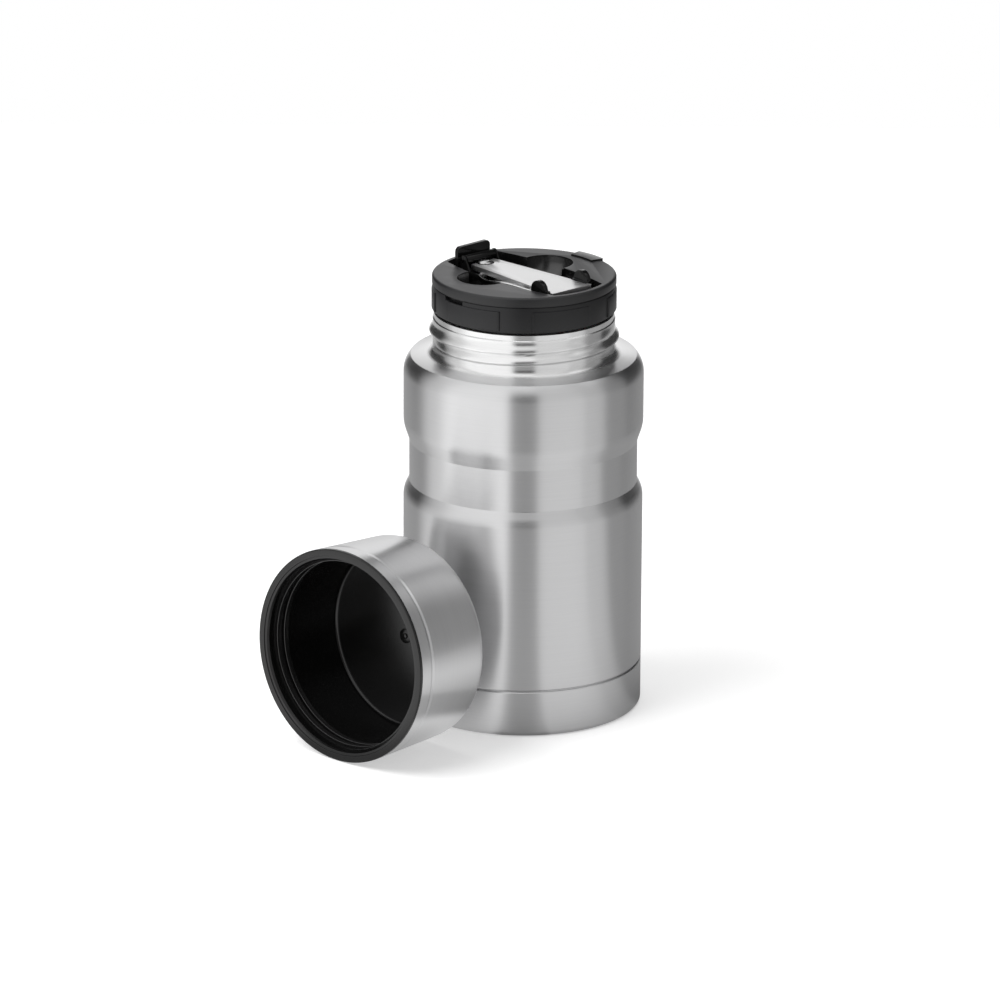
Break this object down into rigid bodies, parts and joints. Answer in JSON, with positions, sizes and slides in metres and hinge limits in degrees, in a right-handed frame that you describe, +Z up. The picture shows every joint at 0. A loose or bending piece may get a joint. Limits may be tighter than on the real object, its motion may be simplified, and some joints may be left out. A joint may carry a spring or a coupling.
{
  "type": "insulated food jar",
  "caption": "Insulated steel food jar with a quick-turn stopper that holds a folding spoon, and a screw cap lying beside it.",
  "frame": {"origin": "centre of the jar's base on the table", "axes": "+Z up along the jar's axis; -Y towards the viewer of the picture, the cap lies towards -X and -Y"},
  "size_m": [0.1527, 0.1506, 0.185],
  "materials": {
    "shell_steel": "satin brushed round the body",
    "liner_steel": "dull drawn steel",
    "foil": "bright copper foil",
    "solder": "dull solder and pressed powder",
    "black_plastic": "fine satin moulding",
    "plug_plastic": "satin moulding",
    "foam": "rigid foam",
    "silicone": "translucent grey silicone",
    "spoon_steel": "polished sheet steel",
    "gloss_black": "polished black moulding"
  },
  "bodies": {
    "jar": {"outer_shell": "shell_steel", "inner_liner": "liner_steel", "reflector_foil": "foil", "outer_bottom": "liner_steel", "vacuum_seal": "solder", "getter": "solder", "base_cup": "shell_steel"},
    "seal": {"stopper_gasket": "silicone"},
    "stopper": {"stopper_top": "black_plastic", "grip_ring": "black_plastic", "stopper_plug": "plug_plastic", "stopper_insulation": "foam", "stopper_bottom_cover": "plug_plastic"},
    "spoon": {"spoon_bowl": "spoon_steel"},
    "handle": {"spoon_handle": "spoon_steel", "thumb_plate": "gloss_black", "hinge_pin": "spoon_steel", "handle_rivet": "spoon_steel"},
    "cap": {"cap_shell": "shell_steel", "cap_liner": "gloss_black"}
  },
  "joints": [
    {"name": "stopper_lift", "type": "slide", "parent": "jar", "child": "seal", "axis": [0, 0, 1], "range_m": [0, 0.07]},
    {"name": "stopper_turn", "type": "hinge", "parent": "seal", "child": "stopper", "pos_m": [0, 0, 0.1632], "axis": [0, 0, 1], "range_deg": [0, 60]},
    {"name": "spoon_lift", "type": "slide", "parent": "stopper", "child": "spoon", "axis": [0, 0, 1], "range_m": [0, 0.05]},
    {"name": "handle_fold", "type": "hinge", "parent": "spoon", "child": "handle", "pos_m": [-0.01811, 0.02011, 0.1796], "axis": [-0.7431, -0.6691, 0], "range_deg": [0, 180]},
    {"name": "cap_lift", "type": "slide", "parent": "jar", "child": "cap", "axis": [0, 0, 1], "range_m": [0, 0.06]}
  ]
}
